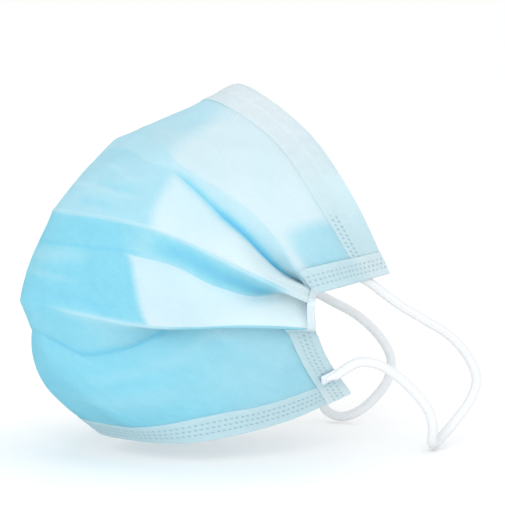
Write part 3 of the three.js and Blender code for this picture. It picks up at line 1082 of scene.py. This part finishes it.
def binding_leg(layer, shares, start):
    """A leg of a binding on a layer of cloth, from the share start at each of its points to
    the side edge, and how far in from the edge each point lies."""
    wanted = lerp(start[None, :], 1.0, np.linspace(0, 1, BINDING_STEPS + 1)[:, None])
    spot = np.interp(wanted, shares, np.arange(len(shares)))
    low = np.minimum(spot.astype(int), len(shares) - 2)
    column = np.arange(BINDING_POINTS)[None, :]
    leg = lerp(layer[low, column], layer[low + 1, column], (spot - low)[:, :, None])
    return leg, (1 - wanted) * HALF_WIDTH


def side_binding(side):
    """A tape folded over a side edge, narrow in front where the pleats are gathered."""
    start = 1 - BINDING / HALF_WIDTH
    shares = np.linspace(start - PAST_BINDING, 1, BINDING_SECTIONS)
    front = np.array([evenly(front_layer(s)[0], BINDING_POINTS) for s in shares])
    back = np.array([evenly(back_layer(s), BINDING_POINTS) for s in shares])
    front += normals_of(front) * BINDING_RISE
    back -= normals_of(back) * BINDING_RISE
    edge, (lip_1, lip_3) = front_layer(1.0)
    walked = walk(edge) / walk(edge)[-1]
    place = np.linspace(0, 1, BINDING_POINTS)
    begins, ends = place - walked[lip_1], place - walked[lip_3]
    gather = smooth(*NARROWS, begins) * (1 - smooth(*WIDENS, ends))
    narrow = lerp(start, 1 - GATHERED / HALF_WIDTH, gather)
    front_leg, front_inset = binding_leg(front, shares, narrow)
    back_leg, back_inset = binding_leg(back, shares, np.full(BINDING_POINTS, start))
    out = unit(front_leg[-1] - front_leg[-2])
    t = np.linspace(0, 1, BINDING_TURN + 1)[1:-1, None, None]
    bends = lerp(front_leg[-1], back_leg[-1], t) + out * BINDING_BEND * np.sin(math.pi * t)
    rows = np.array([*front_leg, *bends, *back_leg[::-1]])
    inset = np.array([*front_inset, *np.zeros((len(bends), BINDING_POINTS)), *back_inset[::-1]])
    down = walk(rows[:1])
    pressed = welds(down, inset, BINDING_WELDS)
    rows = rows - normals_of(rows) * (pressed * WELD_DEPTH)[:, :, None]
    across = np.arange(len(rows))[:, None] * BINDING / BINDING_STEPS
    flat = np.stack(np.broadcast_arrays(across, down), axis=-1)
    over_hems = 1 - smooth(*NOSE_HEM_ENDS, place) + smooth(*CHIN_HEM_STARTS, place)
    sheer = lerp(BINDING_SHEER["panel"], BINDING_SHEER["hems"], over_hems)
    sheer = lerp(sheer, BINDING_SHEER["gather"], gather)
    leg = np.ones(BINDING_STEPS + 1)
    in_front = np.concatenate([leg, np.linspace(1, 0, len(bends)), 0 * leg])
    marks = {"weld": pressed, "see_through": in_front[:, None] * sheer[None, :]}
    if side < 0:
        rows = rows[::-1] * (-1, 1, 1)
        flat = flat[::-1]
        marks = {mark: values[::-1] for mark, values in marks.items()}
    name = "side_binding_tape_left" if side > 0 else "side_binding_tape_right"
    return sheet_object(name, rows, flat, [STRIP_WHITE], STRIP, marks)


# ---- stage and lights
def studio():
    """A pale floor half a millimetre below the part, even light from all round, and a broad
    soft sun from the wearer's left and a little in front."""
    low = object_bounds()[0].z
    bpy.ops.mesh.primitive_plane_add(size=6, location=(0, 0, low - 0.5 * MM))
    floor = bpy.context.object
    floor.name = "floor"
    material, tree = new_material("pale studio floor")
    face = add_node(tree, "ShaderNodeBsdfPrincipled", {"Base Color": srgb("fdfdfd"), "Roughness": 0.9})
    output(tree, face)
    floor.data.materials.append(material)
    floor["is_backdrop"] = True
    world = bpy.data.worlds.new("studio")
    world.use_nodes = True
    sky = world.node_tree.nodes["Background"].inputs
    sky["Color"].default_value = (1, 1, 1, 1)
    sky["Strength"].default_value = 1.0
    bpy.context.scene.world = world
    data = bpy.data.lights.new("window", "SUN")
    data.energy = 1.3
    data.angle = math.radians(40)
    light = bpy.data.objects.new("window", data)
    light.rotation_euler = Vector((0.8, -0.5, 0.3)).to_track_quat("Z", "Y").to_euler()
    bpy.context.scene.collection.objects.link(light)
    bpy.context.scene.view_settings.view_transform = "Standard"


# ---- the mask
place_camera()
for side, node in ((1, "ear_loop_left"), (-1, "ear_loop_right")):
    ends = [loop_weld(pad["name"] + node.removeprefix("ear_loop"), side, pad) for pad in PADS]
    loop = ear_loop(side)
    for piece in (loop, *ends):
        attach(piece, "root")
        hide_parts(node)

panel = pleated_panel()
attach(panel, "root")
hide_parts("pleated_panel")

strips = [
    (nose_hem(), "nose_hem"),
    (chin_hem(), "chin_hem"),
    (side_binding(1), "side_binding_left"),
    (side_binding(-1), "side_binding_right"),
]
for strip, node in strips:
    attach(strip, "root")
    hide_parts(node)

wire = bpy.data.objects["nose_wire"]
wire.data.materials.clear()
wire.data.materials.append(WIRE)

studio()
